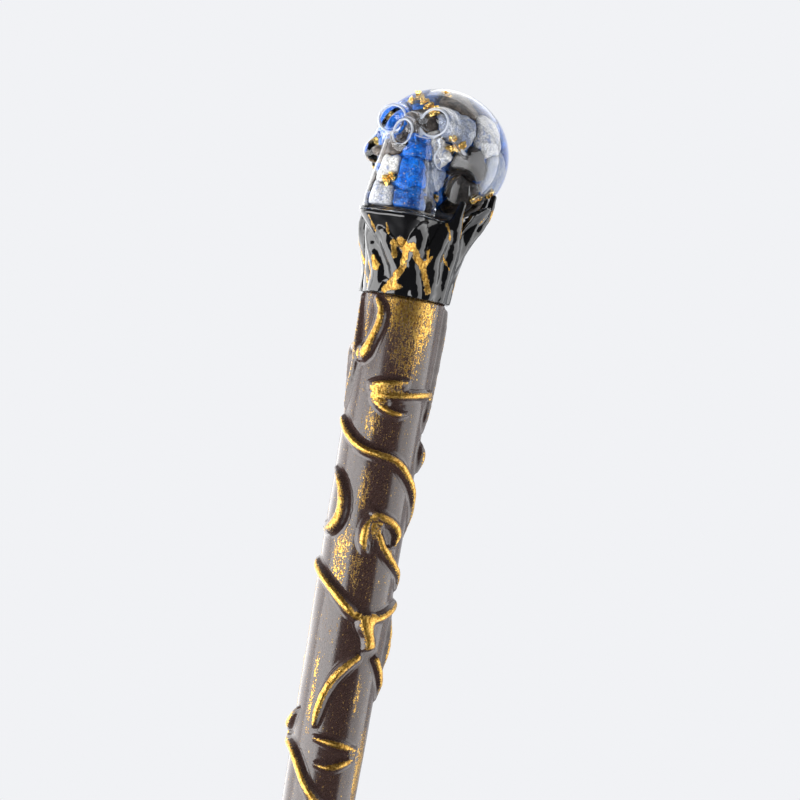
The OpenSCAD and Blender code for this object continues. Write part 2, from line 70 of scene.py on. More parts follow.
def noise(points, size, seed=0):
    """Smooth noise from -1 to 1 at each point, with bumps about size millimetres across."""
    p = np.asarray(points, float) / size + np.array([seed * 3.7, seed * 5.3, seed * 7.9])
    cell = np.floor(p).astype(int)
    t = p - cell
    t = t * t * (3 - 2 * t)
    total = 0.0
    for corner in np.ndindex(2, 2, 2):
        c = np.array(corner)
        weight = np.prod(np.where(c, t, 1 - t), axis=-1)
        i = (cell + c) % LATTICE
        total = total + weight * _lattice[i[..., 0], i[..., 1], i[..., 2]]
    return total


def smoothstep(low, high, x):
    t = np.clip((x - low) / (high - low), 0, 1)
    return t * t * (3 - 2 * t)


# ---- Angles round the wand's axis ----


def turn_of(points):
    """Angle of each point round the wand's axis."""
    return np.degrees(np.arctan2(points[:, 1], points[:, 0]))


def wrapped(angle):
    """An angle brought to between -180 and 180 degrees."""
    return (angle + 180) % 360 - 180


def around_axis(radius, angle, z):
    """Points at a radius and an angle round the wand's axis."""
    a = np.radians(angle)
    return np.stack([radius * np.cos(a), radius * np.sin(a), z], -1)


# ---- Meshes ----


def put(name, data):
    """A new object in the scene."""
    thing = bpy.data.objects.new(name, data)
    bpy.context.scene.collection.objects.link(thing)
    return thing


def add_piece(name, points, faces, material, nodes, fields=None, smooth=True):
    """A mesh piece that rides on the wand and stands for its CAD nodes. Points are in millimetres."""
    mesh = bpy.data.meshes.new(name)
    faces = faces.tolist() if isinstance(faces, np.ndarray) else faces
    mesh.from_pydata((np.asarray(points, float) * MM).tolist(), [], faces)
    mesh.update()
    mesh.polygons.foreach_set("use_smooth", [smooth] * len(mesh.polygons))
    for field, values in (fields or {}).items():
        layer = mesh.attributes.new(field, "FLOAT", "POINT")
        layer.data.foreach_set("value", np.asarray(values, np.float32))
    mesh.materials.append(material)
    piece = put(name, mesh)
    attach(piece, "root")
    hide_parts(*nodes)
    return piece


def cad_mesh(node):
    """Points, in millimetres, and triangles of a CAD node, with doubled points merged."""
    mesh = frame["nodes"][node].data
    mesh.calc_loop_triangles()
    points = np.array([v.co for v in mesh.vertices], float) / MM
    triangles = np.array([t.vertices for t in mesh.loop_triangles], int)
    points, merged = np.unique(np.round(points, 4), axis=0, return_inverse=True)
    triangles = merged.reshape(-1)[triangles]
    whole = (triangles[:, 0] != triangles[:, 1]) & (triangles[:, 1] != triangles[:, 2])
    return points, triangles[whole & (triangles[:, 2] != triangles[:, 0])]


def solids_of(node):
    """The separate solids of a CAD node, each as points and triangles."""
    points, triangles = cad_mesh(node)
    label = np.arange(len(points))
    while True:
        lowest = label[triangles].min(axis=1)
        before = label.copy()
        for k in range(3):
            np.minimum.at(label, triangles[:, k], lowest)
        if np.array_equal(before, label):
            break
    solids = []
    for value in np.unique(label[triangles[:, 0]]):
        mine = triangles[label[triangles[:, 0]] == value]
        used, local = np.unique(mine, return_inverse=True)
        solids.append((points[used], local.reshape(-1, 3)))
    return solids


def surface_nets(distance, low, high, step):
    """Closed quad mesh where distance(points) is zero, within a box. Returns points and faces."""
    axes = [np.arange(low[i], high[i] + step, step) for i in range(3)]
    grid = np.stack(np.meshgrid(*axes, indexing="ij"), -1)
    shape = grid.shape[:3]
    d = distance(grid.reshape(-1, 3)).reshape(shape)
    inside = d < 0
    total = np.zeros(tuple(n - 1 for n in shape) + (3,))
    count = np.zeros(tuple(n - 1 for n in shape))
    crossings = []
    for axis in range(3):
        first = tuple(slice(0, -1) if a == axis else slice(None) for a in range(3))
        second = tuple(slice(1, None) if a == axis else slice(None) for a in range(3))
        crosses = inside[first] != inside[second]
        crossings.append((crosses, inside[first]))
        gap = np.where(crosses, d[first] - d[second], 1)
        point = grid[first].copy()
        point[..., axis] += step * np.where(crosses, d[first] / gap, 0)
        others = [a for a in range(3) if a != axis]
        for o1 in (0, 1):
            for o2 in (0, 1):
                cut = [slice(None)] * 3
                cut[others[0]] = slice(o1, shape[others[0]] - 1 + o1)
                cut[others[1]] = slice(o2, shape[others[1]] - 1 + o2)
                cut = tuple(cut)
                total += np.where(crosses[cut][..., None], point[cut], 0)
                count += crosses[cut]
    used = count > 0
    number = np.full(count.shape, -1)
    number[used] = np.arange(used.sum())
    points = total[used] / count[used][:, None]
    faces = []
    for axis in range(3):
        crosses, starts_inside = crossings[axis]
        others = [a for a in range(3) if a != axis]
        inner = [slice(None)] * 3
        for a in others:
            inner[a] = slice(1, shape[a] - 1)
        where = np.argwhere(crosses[tuple(inner)])
        flip = starts_inside[tuple(inner)][crosses[tuple(inner)]]
        for a in others:
            where[:, a] += 1
        ring = []
        for o1, o2 in ((1, 1), (0, 1), (0, 0), (1, 0)):
            at = where.copy()
            at[:, others[0]] -= o1
            at[:, others[1]] -= o2
            ring.append(number[at[:, 0], at[:, 1], at[:, 2]])
        quads = np.stack(ring, -1)
        turn = flip if axis != 1 else ~flip
        quads[~turn] = quads[~turn][:, ::-1]
        faces.append(quads)
    return points, np.concatenate(faces)


def gradient(distance, points, reach=0.05):
    """Slope of distance at each point."""
    return np.stack(
        [
            (distance(points + offset) - distance(points - offset)) / (2 * reach)
            for offset in np.eye(3) * reach
        ],
        -1,
    )


def settle(distance, points, rounds=3):
    """Points moved on to the surface where distance is zero."""
    for _ in range(rounds):
        slope = gradient(distance, points)
        size = np.maximum((slope**2).sum(-1), 0.2)
        points = points - np.clip(distance(points), -0.5, 0.5)[:, None] * slope / size[:, None]
    return points


def solid_from(distance, low, high, step):
    points, faces = surface_nets(distance, low, high, step)
    return settle(distance, points), faces


# ---- Distance fields ----


def smooth_union(a, b, blend):
    h = np.clip(0.5 + 0.5 * (b - a) / blend, 0, 1)
    return b * (1 - h) + a * h - blend * h * (1 - h)


def smooth_cut(a, b, blend):
    """Shape a with shape b taken out, with a rounded edge."""
    return -smooth_union(-a, b, blend)


def ellipsoid(p, centre, radii):
    q = (p - np.array(centre)) / np.array(radii)
    near = np.sqrt((q**2).sum(-1))
    far = np.sqrt(((q / np.array(radii)) ** 2).sum(-1))
    return near * (near - 1) / np.maximum(far, 1e-6)


def tube(p, a, b, radius_a, radius_b):
    """Round bar from a to b, with a radius at each end."""
    a, b = np.array(a, float), np.array(b, float)
    along = b - a
    t = np.clip(((p - a) @ along) / (along @ along), 0, 1)
    return np.sqrt(((p - a - t[:, None] * along) ** 2).sum(-1)) - (radius_a + (radius_b - radius_a) * t)


# ---- Materials ----


class Nodes:
    """The nodes of one material or of the world."""

    def __init__(self, owner):
        owner.use_nodes = True
        self.tree = owner.node_tree
        self.tree.nodes.clear()

    def add(self, kind, inputs=None, **settings):
        node = self.tree.nodes.new(kind)
        for key, value in settings.items():
            setattr(node, key, value)
        for key, value in (inputs or {}).items():
            self.feed(node.inputs[key], value)
        return node

    def feed(self, socket, value):
        if isinstance(value, bpy.types.NodeSocket):
            self.tree.links.new(value, socket)
        else:
            socket.default_value = value

    def ramp(self, value, low, high, to_low=0.0, to_high=1.0):
        """Smooth step of a value from to_low at low to to_high at high."""
        inputs = {"Value": value, "From Min": low, "From Max": high, "To Min": to_low, "To Max": to_high}
        return self.add("ShaderNodeMapRange", inputs, interpolation_type="SMOOTHSTEP").outputs[0]

    def calc(self, operation, a, b):
        return self.add("ShaderNodeMath", {0: a, 1: b}, operation=operation).outputs[0]

    def blend(self, share, a, b):
        """Colour a where share is 0, and b where it is 1."""
        node = self.add("ShaderNodeMix", data_type="RGBA")
        self.feed(node.inputs[0], share)
        self.feed(node.inputs[6], a)
        self.feed(node.inputs[7], b)
        return node.outputs[2]

    def grey(self, value):
        return self.add("ShaderNodeCombineColor", {0: value, 1: value, 2: value}).outputs[0]


class Look(Nodes):
    """One material's nodes. Lengths in its textures are in millimetres of the object."""

    def __init__(self, name):
        self.material = bpy.data.materials.new(name)
        super().__init__(self.material)
        self.out = self.add("ShaderNodeOutputMaterial")
        self.place = self.add("ShaderNodeTexCoord").outputs["Object"]

    def field(self, name):
        return self.add("ShaderNodeAttribute", attribute_name=name).outputs["Fac"]

    def noise(self, size, detail=3.0, rough=0.55, stretch=1.0, warp=0.0, shift=0.0):
        """Noise from 0 to 1 with features of a size, drawn out by stretch along the wand."""
        scale = (1 / (MM * size), 1 / (MM * size), 1 / (MM * size * stretch))
        mapped = {"Vector": self.place, "Scale": scale, "Location": (shift, shift, shift)}
        place = self.add("ShaderNodeMapping", mapped).outputs[0]
        inputs = {"Vector": place, "Scale": 1.0, "Detail": detail, "Roughness": rough, "Distortion": warp}
        return self.add("ShaderNodeTexNoise", inputs).outputs["Fac"]

    def bump(self, height, depth):
        """Normal of a relief that is depth millimetres deep where height goes from 0 to 1."""
        inputs = {"Height": height, "Distance": depth * MM, "Strength": 1.0}
        return self.add("ShaderNodeBump", inputs).outputs[0]

    def surface(self, shader):
        self.tree.links.new(shader, self.out.inputs["Surface"])
        return self.material

    def principled(self, inputs):
        return self.surface(self.add("ShaderNodeBsdfPrincipled", inputs).outputs[0])


def rgb(red, green, blue):
    """Linear colour, with alpha, from the 0 to 255 values of a screen colour."""
    values = [c / 255 for c in (red, green, blue)]
    return (*[c / 12.92 if c < 0.04045 else ((c + 0.055) / 1.055) ** 2.4 for c in values], 1.0)


BROWN = rgb(66, 46, 41)
BROWN_PALE = rgb(82, 62, 57)
GOLD = rgb(206, 168, 88)
GOLD_DEEP = rgb(140, 98, 36)


def gold_over(look, share, base, base_rough, height, depth, rough=0.34):
    """Paint of a base colour with metallic gold on it where share is 1."""
    tone = look.blend(look.ramp(look.noise(0.5, 4, 0.65), 0.35, 0.65), GOLD_DEEP, GOLD)
    rough_all = look.add("ShaderNodeMix", {0: share, 2: base_rough, 3: rough}).outputs[0]
    return look.principled(
        {
            "Base Color": look.blend(share, base, tone),
            "Metallic": share,
            "Roughness": rough_all,
            "Normal": look.bump(height, depth),
        }
    )


def metallic_brown(look):
    """Brown resin with the fine glitter of mica in it. Returns its colour and its roughness."""
    grain = look.ramp(look.noise(0.22, 2, 0.5, shift=5.0), 0.38, 0.64)
    cloud = look.blend(look.noise(6.0, 3), BROWN, BROWN_PALE)
    rough = look.ramp(look.noise(0.22, 2, 0.5, shift=6.0), 0.3, 0.7, 0.1, 0.3)
    return look.blend(grain, rgb(44, 30, 27), cloud), rough


def shaft_paint():
    look = Look("shaft_paint")
    streaks = look.noise(0.42, 3, 0.6, stretch=5.0)
    specks = look.noise(0.26, 2, 0.6, stretch=1.3, shift=3.0)
    grain = look.calc("ADD", look.calc("MULTIPLY", streaks, 1.2), look.calc("MULTIPLY", specks, 2.0))
    share = look.ramp(look.calc("ADD", look.field("gold"), grain), 2.2, 2.32)
    base, gloss = metallic_brown(look)
    fine = look.noise(0.35, 3, 0.6, stretch=1.4, shift=8.0)
    height = look.calc("ADD", look.calc("MULTIPLY", fine, 0.25), look.calc("MULTIPLY", share, 1.1))
    return gold_over(look, share, base, gloss, height, 0.045)


def vine_paint():
    look = Look("vine_paint")
    ragged = look.noise(0.45, 3, 0.6)
    share = look.ramp(look.calc("ADD", look.field("crest"), ragged), 1.14, 1.27)
    base, gloss = metallic_brown(look)
    lumps = look.noise(0.4, 3, 0.6)
    height = look.calc("MULTIPLY", lumps, look.calc("ADD", share, 0.1))
    return gold_over(look, share, base, gloss, height, 0.13)


def collar_resin():
    look = Look("collar_resin")
    ragged = look.calc("MULTIPLY", look.noise(0.5, 3, 0.6, stretch=2.0), 0.5)
    share = look.ramp(look.calc("ADD", look.field("gold"), ragged), 0.72, 0.84)
    lumps = look.noise(0.45, 3, 0.6, stretch=1.5)
    height = look.calc("MULTIPLY", lumps, look.calc("ADD", share, 0.06))
    return gold_over(look, share, rgb(9, 9, 11), 0.08, height, 0.16, 0.5)


def clear_resin():
    look = Look("clear_resin")
    bent = look.add("ShaderNodeBsdfGlass", {"Color": (0.95, 0.97, 1.0, 1.0), "IOR": 1.12, "Roughness": 0.0})
    gloss = look.add("ShaderNodeBsdfGlossy", {"Color": (1.0, 1.0, 1.0, 1.0), "Roughness": 0.02})
    inside = look.add("ShaderNodeNewGeometry").outputs["Backfacing"]
    edge = look.add("ShaderNodeFresnel", {"IOR": 1.4}).outputs[0]
    edge = look.calc("MULTIPLY", edge, look.calc("SUBTRACT", 1.0, inside))
    glass = look.add("ShaderNodeMixShader", {0: edge, 1: bent.outputs[0], 2: gloss.outputs[0]})
    # Pale painted highlight over the glass, laid by the edge field on thin edges and along the upper edges of
    # the cheek arches
    pale = look.add("ShaderNodeBsdfPrincipled", {"Base Color": rgb(214, 219, 228), "Roughness": 0.1})
    painted_edge_highlight = look.ramp(look.field("edge"), 0.2, 0.95, 0.0, 0.8)
    glass = look.add("ShaderNodeMixShader", {0: painted_edge_highlight, 1: glass.outputs[0], 2: pale.outputs[0]})
    clear = look.add("ShaderNodeBsdfTransparent", {"Color": (0.93, 0.95, 0.98, 1.0)})
    shadow = look.add("ShaderNodeLightPath").outputs["Is Shadow Ray"]
    return look.surface(
        look.add("ShaderNodeMixShader", {0: shadow, 1: glass.outputs[0], 2: clear.outputs[0]}).outputs[0]
    )


def stone(name, colours, size, rough, fleck=None):
    """Mottled stone whose tone field, from 0 to 1, picks between pairs of colours."""
    look = Look(name)
    tone = look.field("tone")
    cloud = look.ramp(look.noise(size, 6, 0.65, warp=0.6), 0.38, 0.62)
    dark = look.blend(tone, colours[0], colours[2])
    light = look.blend(tone, colours[1], colours[3])
    colour = look.blend(cloud, dark, light)
    veins = look.ramp(look.noise(size * 0.7, 8, 0.7, warp=1.5, shift=5.0), 0.52, 0.64)
    colour = look.blend(look.calc("MULTIPLY", veins, 0.75), colour, colours[4])
    grit = look.ramp(look.noise(0.4, 4, 0.75, shift=9.0), 0.36, 0.64, 0.5, 1.3)
    gritty = {0: 1.0, 6: colour, 7: look.grey(grit)}
    colour = look.add("ShaderNodeMix", gritty, data_type="RGBA", blend_type="MULTIPLY").outputs[2]
    if fleck:
        spots = look.ramp(look.noise(0.5, 2, 0.5, shift=11.0), 0.68, 0.72)
        colour = look.blend(spots, colour, fleck)
    return look.principled(
        {
            "Base Color": colour,
            "Roughness": rough,
            "Specular IOR Level": 0.25,
            "Normal": look.bump(look.noise(0.8, 4), 0.16),
        }
    )


def lapis():
    colours = [rgb(0, 62, 140), rgb(0, 106, 206), rgb(4, 26, 60), rgb(34, 74, 124), rgb(84, 126, 172)]
    return stone("lapis", colours, 2.2, 0.35, rgb(190, 160, 90))


def quartz():
    ivory = [rgb(186, 182, 176), rgb(212, 207, 198)]
    colours = ivory + [rgb(84, 100, 132), rgb(130, 136, 146), rgb(92, 112, 156)]
    return stone("quartz", colours, 2.6, 0.4)


def smoky():
    colours = [rgb(42, 34, 28), rgb(112, 100, 88), rgb(8, 8, 10), rgb(30, 30, 34), rgb(88, 78, 70)]
    return stone("smoky_stone", colours, 2.0, 0.35)


def foil():
    look = Look("gold_foil")
    colour = look.blend(look.noise(0.6, 3), rgb(240, 184, 70), rgb(255, 226, 150))
    creases = look.bump(look.noise(0.35, 3, 0.6), 0.12)
    return look.principled({"Base Color": colour, "Metallic": 1.0, "Roughness": 0.22, "Normal": creases})


def bare_wood():
    look = Look("core_wood")
    rings = look.noise(0.8, 4, 0.6, stretch=20.0)
    colour = look.blend(rings, rgb(188, 152, 104), rgb(222, 192, 148))
    return look.principled({"Base Color": colour, "Roughness": 0.6, "Normal": look.bump(rings, 0.05)})


# ---- Shaft ----

# Length of the rounded tip, and the typical radius by which angles round the shaft become lengths
TIP_ROUND = 8
TYPICAL_R = 9.0

sleeve_points, _ = cad_mesh("shaft_sleeve")
sleeve_r = np.hypot(sleeve_points[:, 0], sleeve_points[:, 1])
at_seam = sleeve_points[:, 2] > SEAM - 0.5
at_tip = sleeve_points[:, 2] < TIP + TIP_ROUND
BORE_R = sleeve_r[at_seam & (sleeve_r > 1)].min()
outer = at_tip | (sleeve_r > BORE_R + 0.3)
OUTER_Z = np.unique(np.round(sleeve_points[outer, 2], 2))
OUTER_R = np.array(
    [sleeve_r[outer][np.abs(sleeve_points[outer, 2] - z) < 0.02].max() for z in OUTER_Z]
)
bore_side = ~at_tip & (np.abs(sleeve_r - BORE_R) < 0.1)
BORE_FLOOR = sleeve_points[bore_side, 2].min()


def shaft_radius(angle, z):
    """Radius of the hand-finished shaft: the CAD sleeve's, with soft dents a tenth of a millimetre deep."""
    base = np.interp(z, OUTER_Z, OUTER_R)
    around = around_axis(base, angle, z * 0.4)
    dents = 0.07 * noise(around, 5.0, 1) + 0.03 * noise(around, 1.8, 2)
    return base + dents * smoothstep(TIP, TIP + 10, z) - 0.05


# Dry-brushed gold on the shaft: angle, drop below the seam, half width, half length, strength
GOLD_PATCHES = [
    (-52, 1, 46, 11, 0.6), (-30, 5, 26, 10, 0.52), (-44, 14, 28, 8, 0.36), (-118, 8, 8, 9, 0.34),
    (-78, 30, 14, 6, 0.34), (-74, 46, 11, 6, 0.43), (-92, 62, 20, 9, 0.38), (-66, 64, 12, 6, 0.4),
    (-102, 94, 6, 12, 0.42), (-145, 80, 5, 40, 0.44), (4, 112, 14, 14, 0.46), (-30, 95, 5, 6, 0.36),
    (-150, 20, 12, 20, 0.36), (60, 20, 25, 16, 0.4), (120, 60, 20, 18, 0.38), (150, 8, 26, 10, 0.46),
    (90, 120, 18, 20, 0.38), (-60, 150, 20, 16, 0.38), (170, 150, 16, 16, 0.4), (30, 200, 20, 18, 0.38),
    (-120, 214, 22, 20, 0.42), (100, 250, 24, 16, 0.42), (-30, 268, 30, 16, 0.42), (180, 285, 30, 14, 0.44)
]

# How much gold there is away from the patches
BARE = 0.24


def gold_on_shaft(angle, z):
    """How much gold is brushed on, before the streaks of the brush break it up."""
    drop = SEAM - z
    total = np.full(np.shape(angle), BARE)
    for at, down, wide, long, strength in GOLD_PATCHES:
        turn = wrapped(angle - at)
        away = np.sqrt((turn / wide) ** 2 + ((drop - down) / long) ** 2)
        total = np.maximum(total, BARE + strength * (1 - smoothstep(0.35, 1.25, away)))
    return total + 0.07 * noise(around_axis(TYPICAL_R, angle, z), 3.5, 9)


def make_shaft(material):
    """The sleeve as one closed skin, from the bore's floor up, over the seam and down to the tip."""
    sides = 176
    row_step = 0.8
    chamfer = 0.15
    angles = np.arange(sides) * 360 / sides
    side_z = np.arange(SEAM, TIP + TIP_ROUND, -row_step)
    tip_z = TIP + TIP_ROUND * (1 - np.sin(np.linspace(0.1, math.pi / 2, 10)))
    rows = [(BORE_R, BORE_FLOOR), (BORE_R, SEAM - chamfer), (BORE_R + chamfer, SEAM)]
    points = [np.array([[0, 0, BORE_FLOOR]])]
    for z in np.concatenate([side_z, tip_z]):
        rows.append((shaft_radius(angles, np.full(sides, z)), z))
    points += [around_axis(radius, angles, np.full(sides, z)) for radius, z in rows]
    points.append(np.array([[0, 0, TIP]]))
    count = len(points) - 2
    skin = np.concatenate(points)
    k = np.arange(sides)
    following = (k + 1) % sides
    faces = []
    for i in range(count - 1):
        a, b = 1 + i * sides + k, 1 + i * sides + following
        faces += np.stack([a, a + sides, b + sides, b], -1).tolist()
    last = 1 + (count - 1) * sides
    faces += np.stack([np.zeros(sides, int), 1 + k, 1 + following], -1).tolist()
    faces += np.stack([last + k, np.full(sides, len(skin) - 1), last + following], -1).tolist()
    gold = gold_on_shaft(turn_of(skin), skin[:, 2])
    add_piece("shaft", skin, faces, material, ["shaft_sleeve"], {"gold": gold})


# ---- Vines ----

VINE_STEP = 0.2
VINE_NODES = [
    s["node"] for s in frame["record"]["subparts"] if s.get("material_slot") == "vine_gold"
]

# How fully the gold is brushed on along the crests of the vines that have less of it than most
VINE_GOLD = {"left_vein": 0.72, "left_twig": 0.66, "right_ridge": 0.68, "left_bud": 0.85, "right_bud": 0.85}


def blur(values, size):
    """Values on a grid, spread by a bell curve of that many grid steps."""
    reach = int(3 * size) + 1
    weights = np.exp(-0.5 * (np.arange(-reach, reach + 1) / size) ** 2)
    weights /= weights.sum()
    for axis in (0, 1):
        values = np.apply_along_axis(lambda row: np.convolve(row, weights, "same"), axis, values)
    return values


def widest(values, reach):
    """Greatest value within reach grid steps of each place."""
    out = values.copy()
    for axis in (0, 1):
        best = out.copy()
        for shift in range(1, reach + 1):
            best = np.maximum(best, np.roll(out, shift, axis))
            best = np.maximum(best, np.roll(out, -shift, axis))
        out = best
    return out


def tree_of(nodes):
    """The skins of some CAD nodes as one tree for ray casts."""
    points, triangles, count = [], [], 0
    for node in nodes:
        own_points, own_triangles = cad_mesh(node)
        points.append(own_points)
        triangles.append(own_triangles + count)
        count += len(own_points)
    return BVHTree.FromPolygons(np.concatenate(points).tolist(), np.concatenate(triangles).tolist())


ALL_VINES = tree_of(VINE_NODES)

# Room round a strand for its flared foot, and how far two strands that touch run into each other
FOOT = 2.8
OVERLAP = 0.4
# Two strands meet where both are nearer than this
MEETING = 0.8
# How far from a strand's own points its ground is looked for
SEARCH = 4.6
# A strand taller than this winds round the shaft, and one that spans more degrees than this goes all round
TALL = 60
ALL_ROUND = 300
# Rays run towards the axis from this radius, for this far
RAY_FROM = 14
RAY_REACH = 8
# How far a strand's rim is sunk into the shaft, and how deep its floor lies
RIM_SINK = 0.08
FLOOR_DEPTH = 0.35


def make_vine(node, material):
    """A hand-rolled strand laid on the shaft, drawn out into its neighbours where they meet."""
    points, _ = cad_mesh(node)
    own = tree_of([node])
    others = tree_of([other for other in VINE_NODES if other != node])
    middle = math.degrees(math.atan2(points[:, 1].mean(), points[:, 0].mean()))
    if np.ptp(points[:, 2]) > TALL:
        middle = 0.0
    angle = turn_of(points)
    span = wrapped(angle - middle)
    turn_step = math.degrees(VINE_STEP / TYPICAL_R)
    edge = math.degrees(FOOT / TYPICAL_R)
    full = np.ptp(span) > ALL_ROUND
    low, high = (-180, 180) if full else (span.min() - edge, span.max() + edge)
    count = int(round((high - low) / turn_step))
    turns = middle + low + (high - low) * np.arange(count if full else count + 1) / count
    bottom = max(points[:, 2].min() - FOOT, TIP + TIP_ROUND)
    top = min(points[:, 2].max() + FOOT, SEAM - 0.2)
    heights = np.arange(bottom, top, VINE_STEP)
    grid_a, grid_z = np.meshgrid(turns, heights, indexing="ij")
    radius = shaft_radius(grid_a, grid_z)
    relief = np.zeros(grid_a.shape)
    mine = np.zeros(grid_a.shape, bool)
    meeting = np.zeros(grid_a.shape)
    i = np.clip(np.searchsorted(heights, points[:, 2]), 0, len(heights) - 1)
    j = np.round(((angle - middle - low + 360) % 360) / turn_step).astype(int) % len(turns)
    near = np.zeros(grid_a.shape)
    near[j, i] = 1
    near = widest(near, int(SEARCH / VINE_STEP)) > 0
    for a, b in np.argwhere(near):
        way = Vector((math.cos(math.radians(turns[a])), math.sin(math.radians(turns[a])), 0))
        level = Vector((0, 0, heights[b]))
        hit = ALL_VINES.ray_cast(way * RAY_FROM + level, -way, RAY_REACH)[0]
        if hit:
            relief[a, b] = math.hypot(hit.x, hit.y) - radius[a, b]
        spot = way * (radius[a, b] + 0.2) + level
        gap = own.find_nearest(spot, FOOT + OVERLAP)[3]
        rival = others.find_nearest(spot, FOOT + OVERLAP)[3]
        mine[a, b] = gap is not None and (rival is None or gap <= rival + OVERLAP)
        meeting[a, b] = gap is not None and rival is not None and max(gap, rival) < MEETING
    pad = 12
    wide = np.concatenate([relief[-pad:], relief, relief[:pad]]) if full else relief
    bridge = int(0.9 / VINE_STEP)
    joined = np.maximum(wide, -widest(-widest(wide, bridge), bridge))
    soft = blur(joined, 0.24 / VINE_STEP)
    foot = blur(joined, 0.8 / VINE_STEP)
    crown = widest(soft, int(1.5 / VINE_STEP))
    if full:
        soft, foot, crown = soft[pad:-pad], foot[pad:-pad], crown[pad:-pad]
    place = around_axis(TYPICAL_R, grid_a, grid_z)
    body = smoothstep(0.1, 0.6, soft)
    crest = np.where(crown > 0.12, soft / np.maximum(crown, 0.12), 0)
    crest = np.maximum(crest, np.minimum(1.0, 1.6 * blur(meeting, 0.3 / VINE_STEP)) * body)
    lift = 0.92 * soft + 0.34 * foot + body * (0.09 * noise(place, 2.0, 4) + 0.06 * noise(place, 0.8, 5))
    bed = (lift > 0.025) & mine
    make_relief(node, grid_a, grid_z, radius, lift, bed, crest, full, material)


def make_relief(node, grid_a, grid_z, radius, lift, bed, crest, wraps, material):
    """Closed skin over the grid places in bed: relief on top, a floor inside the shaft, and a rim."""
    cells = bed[:, :-1] | bed[:, 1:]
    after = np.roll(cells, -1, 0)
    cells = cells | after
    if not wraps:
        cells = cells[:-1]
    nearby = np.pad(cells, 1)
    diagonal = (nearby[:-1, :-1] & nearby[1:, 1:]) | (nearby[1:, :-1] & nearby[:-1, 1:])
    cells = cells | (diagonal[:-1, :-1] & diagonal[1:, 1:])
    rows, columns = np.nonzero(cells)
    across = grid_a.shape[1]
    total = grid_a.size
    next_row = (rows + 1) % grid_a.shape[0]
    quads = np.stack(
        [rows * across + columns, next_row * across + columns,
         next_row * across + columns + 1, rows * across + columns + 1], -1
    )
    edges = np.concatenate([quads[:, [k, (k + 1) % 4]] for k in range(4)])
    key = edges[:, 0] * total + edges[:, 1]
    back = edges[:, 1] * total + edges[:, 0]
    rim = edges[~np.isin(key, back)]
    top_r = (radius + np.where(lift > 0.03, lift, -RIM_SINK)).ravel()
    on_rim = np.zeros(total, bool)
    on_rim[rim.ravel()] = True
    sunk = on_rim & (lift.ravel() < 0.15)
    top_r[sunk] = radius.ravel()[sunk] - RIM_SINK
    low_r = radius.ravel() - FLOOR_DEPTH
    top = around_axis(top_r, grid_a.ravel(), grid_z.ravel())
    floor = around_axis(low_r, grid_a.ravel(), grid_z.ravel())
    walls = np.stack([rim[:, 1], rim[:, 0], rim[:, 0] + total, rim[:, 1] + total], -1)
    faces = np.concatenate([quads, quads[:, ::-1] + total, walls])
    used, local = np.unique(faces, return_inverse=True)
    points = np.concatenate([top, floor])[used]
    field = np.concatenate([crest.ravel(), np.zeros(total)])[used] * VINE_GOLD.get(node, 1.0)
    add_piece(node + "_look", points, local.reshape(-1, 4), material, [node], {"crest": field})


# ---- Collar ----

CUP_FOOT_R = 10.3
CUP_RIM_R = 12.4
# Mean radius of the collar, by which angles round it become lengths
COLLAR_R = 11
# Plan of the shelf under the jaw: two corners, [x, y], and the radius of its round corners
SHELF_LOW = [-8.4, -16.8]
SHELF_HIGH = [8.4, 1]
SHELF_CORNER = 4.4
# The flared wall: the angle at its middle, how far it spans to each side, and the heights of its foot and rim
WALL_TURN = 76
WALL_SPAN = 84
WALL_FOOT = 14
WALL_RIM = 22.4


def cup_radius(angle, height):
    """Radius of the cup: a little over the CAD cup's, with soft upright folds."""
    t = smoothstep(4, CUP_TOP - 2, height)
    folds = 0.3 * np.sin(np.radians(angle * 5 + 40 * np.sin(height / 5))) * smoothstep(0, 5, height)
    return CUP_FOOT_R + (CUP_RIM_R - CUP_FOOT_R) * t + folds * (1 - smoothstep(CUP_TOP - 3, CUP_TOP, height))


def round_box(p, low, high, radius):
    """Distance to an upright block with round corners in plan: low and high are [x, y] corners."""
    middle = (np.array(low) + np.array(high)) / 2
    half = (np.array(high) - np.array(low)) / 2
    q = np.abs(p[:, :2] - middle) - half + radius
    return np.sqrt((np.maximum(q, 0) ** 2).sum(-1)) + np.minimum(q.max(-1), 0) - radius


def cup_distance(p):
    r = np.hypot(p[:, 0], p[:, 1])
    h = p[:, 2]
    side = (r - cup_radius(turn_of(p), h)) * 0.95
    shelf = round_box(p, SHELF_LOW, SHELF_HIGH, SHELF_CORNER) + 0.9 * np.maximum(CUP_TOP - 0.8 - h, 0)
    body = smooth_union(side, shelf, 1.6)
    melted = 0.1 * noise(p * [1, 1, 0.7], 1.7, 3) + 0.16 * noise(p * [1, 1, 0.5], 3.4, 6)
    body = body + melted * smoothstep(0.5, 3, h) * smoothstep(0.1, 1, CUP_TOP - h)
    return np.maximum(body, np.maximum(-h, h - CUP_TOP))


def bowl_distance(p):
    """Distance to the thin flared wall, with a scalloped rim, that the roots rise out of behind."""
    r = np.hypot(p[:, 0], p[:, 1])
    h = p[:, 2]
    angle = turn_of(p)
    wall = np.abs(r - 11.4 - 0.72 * (h - 16)) * 0.8 - 0.7
    rim = h - WALL_RIM - 1.6 * np.sin(np.radians(angle * 9 + 50))
    reach = np.abs(wrapped(angle - WALL_TURN)) - WALL_SPAN
    wall = np.maximum(np.maximum(wall, rim * 0.7), np.maximum(np.radians(reach) * r, WALL_FOOT - h))
    wall = wall + 0.12 * noise(p, 1.8, 14)
    return np.maximum(wall, -skull_distance(p) - 0.05)


ROOT_NODES = ["front_roots", "near_roots", "back_roots", "far_roots"]
# How many spots are picked on a CAD strand's skin, and how far apart its level slices are
STRAND_SPOTS = 9000
SLICE_STEP = 1.25


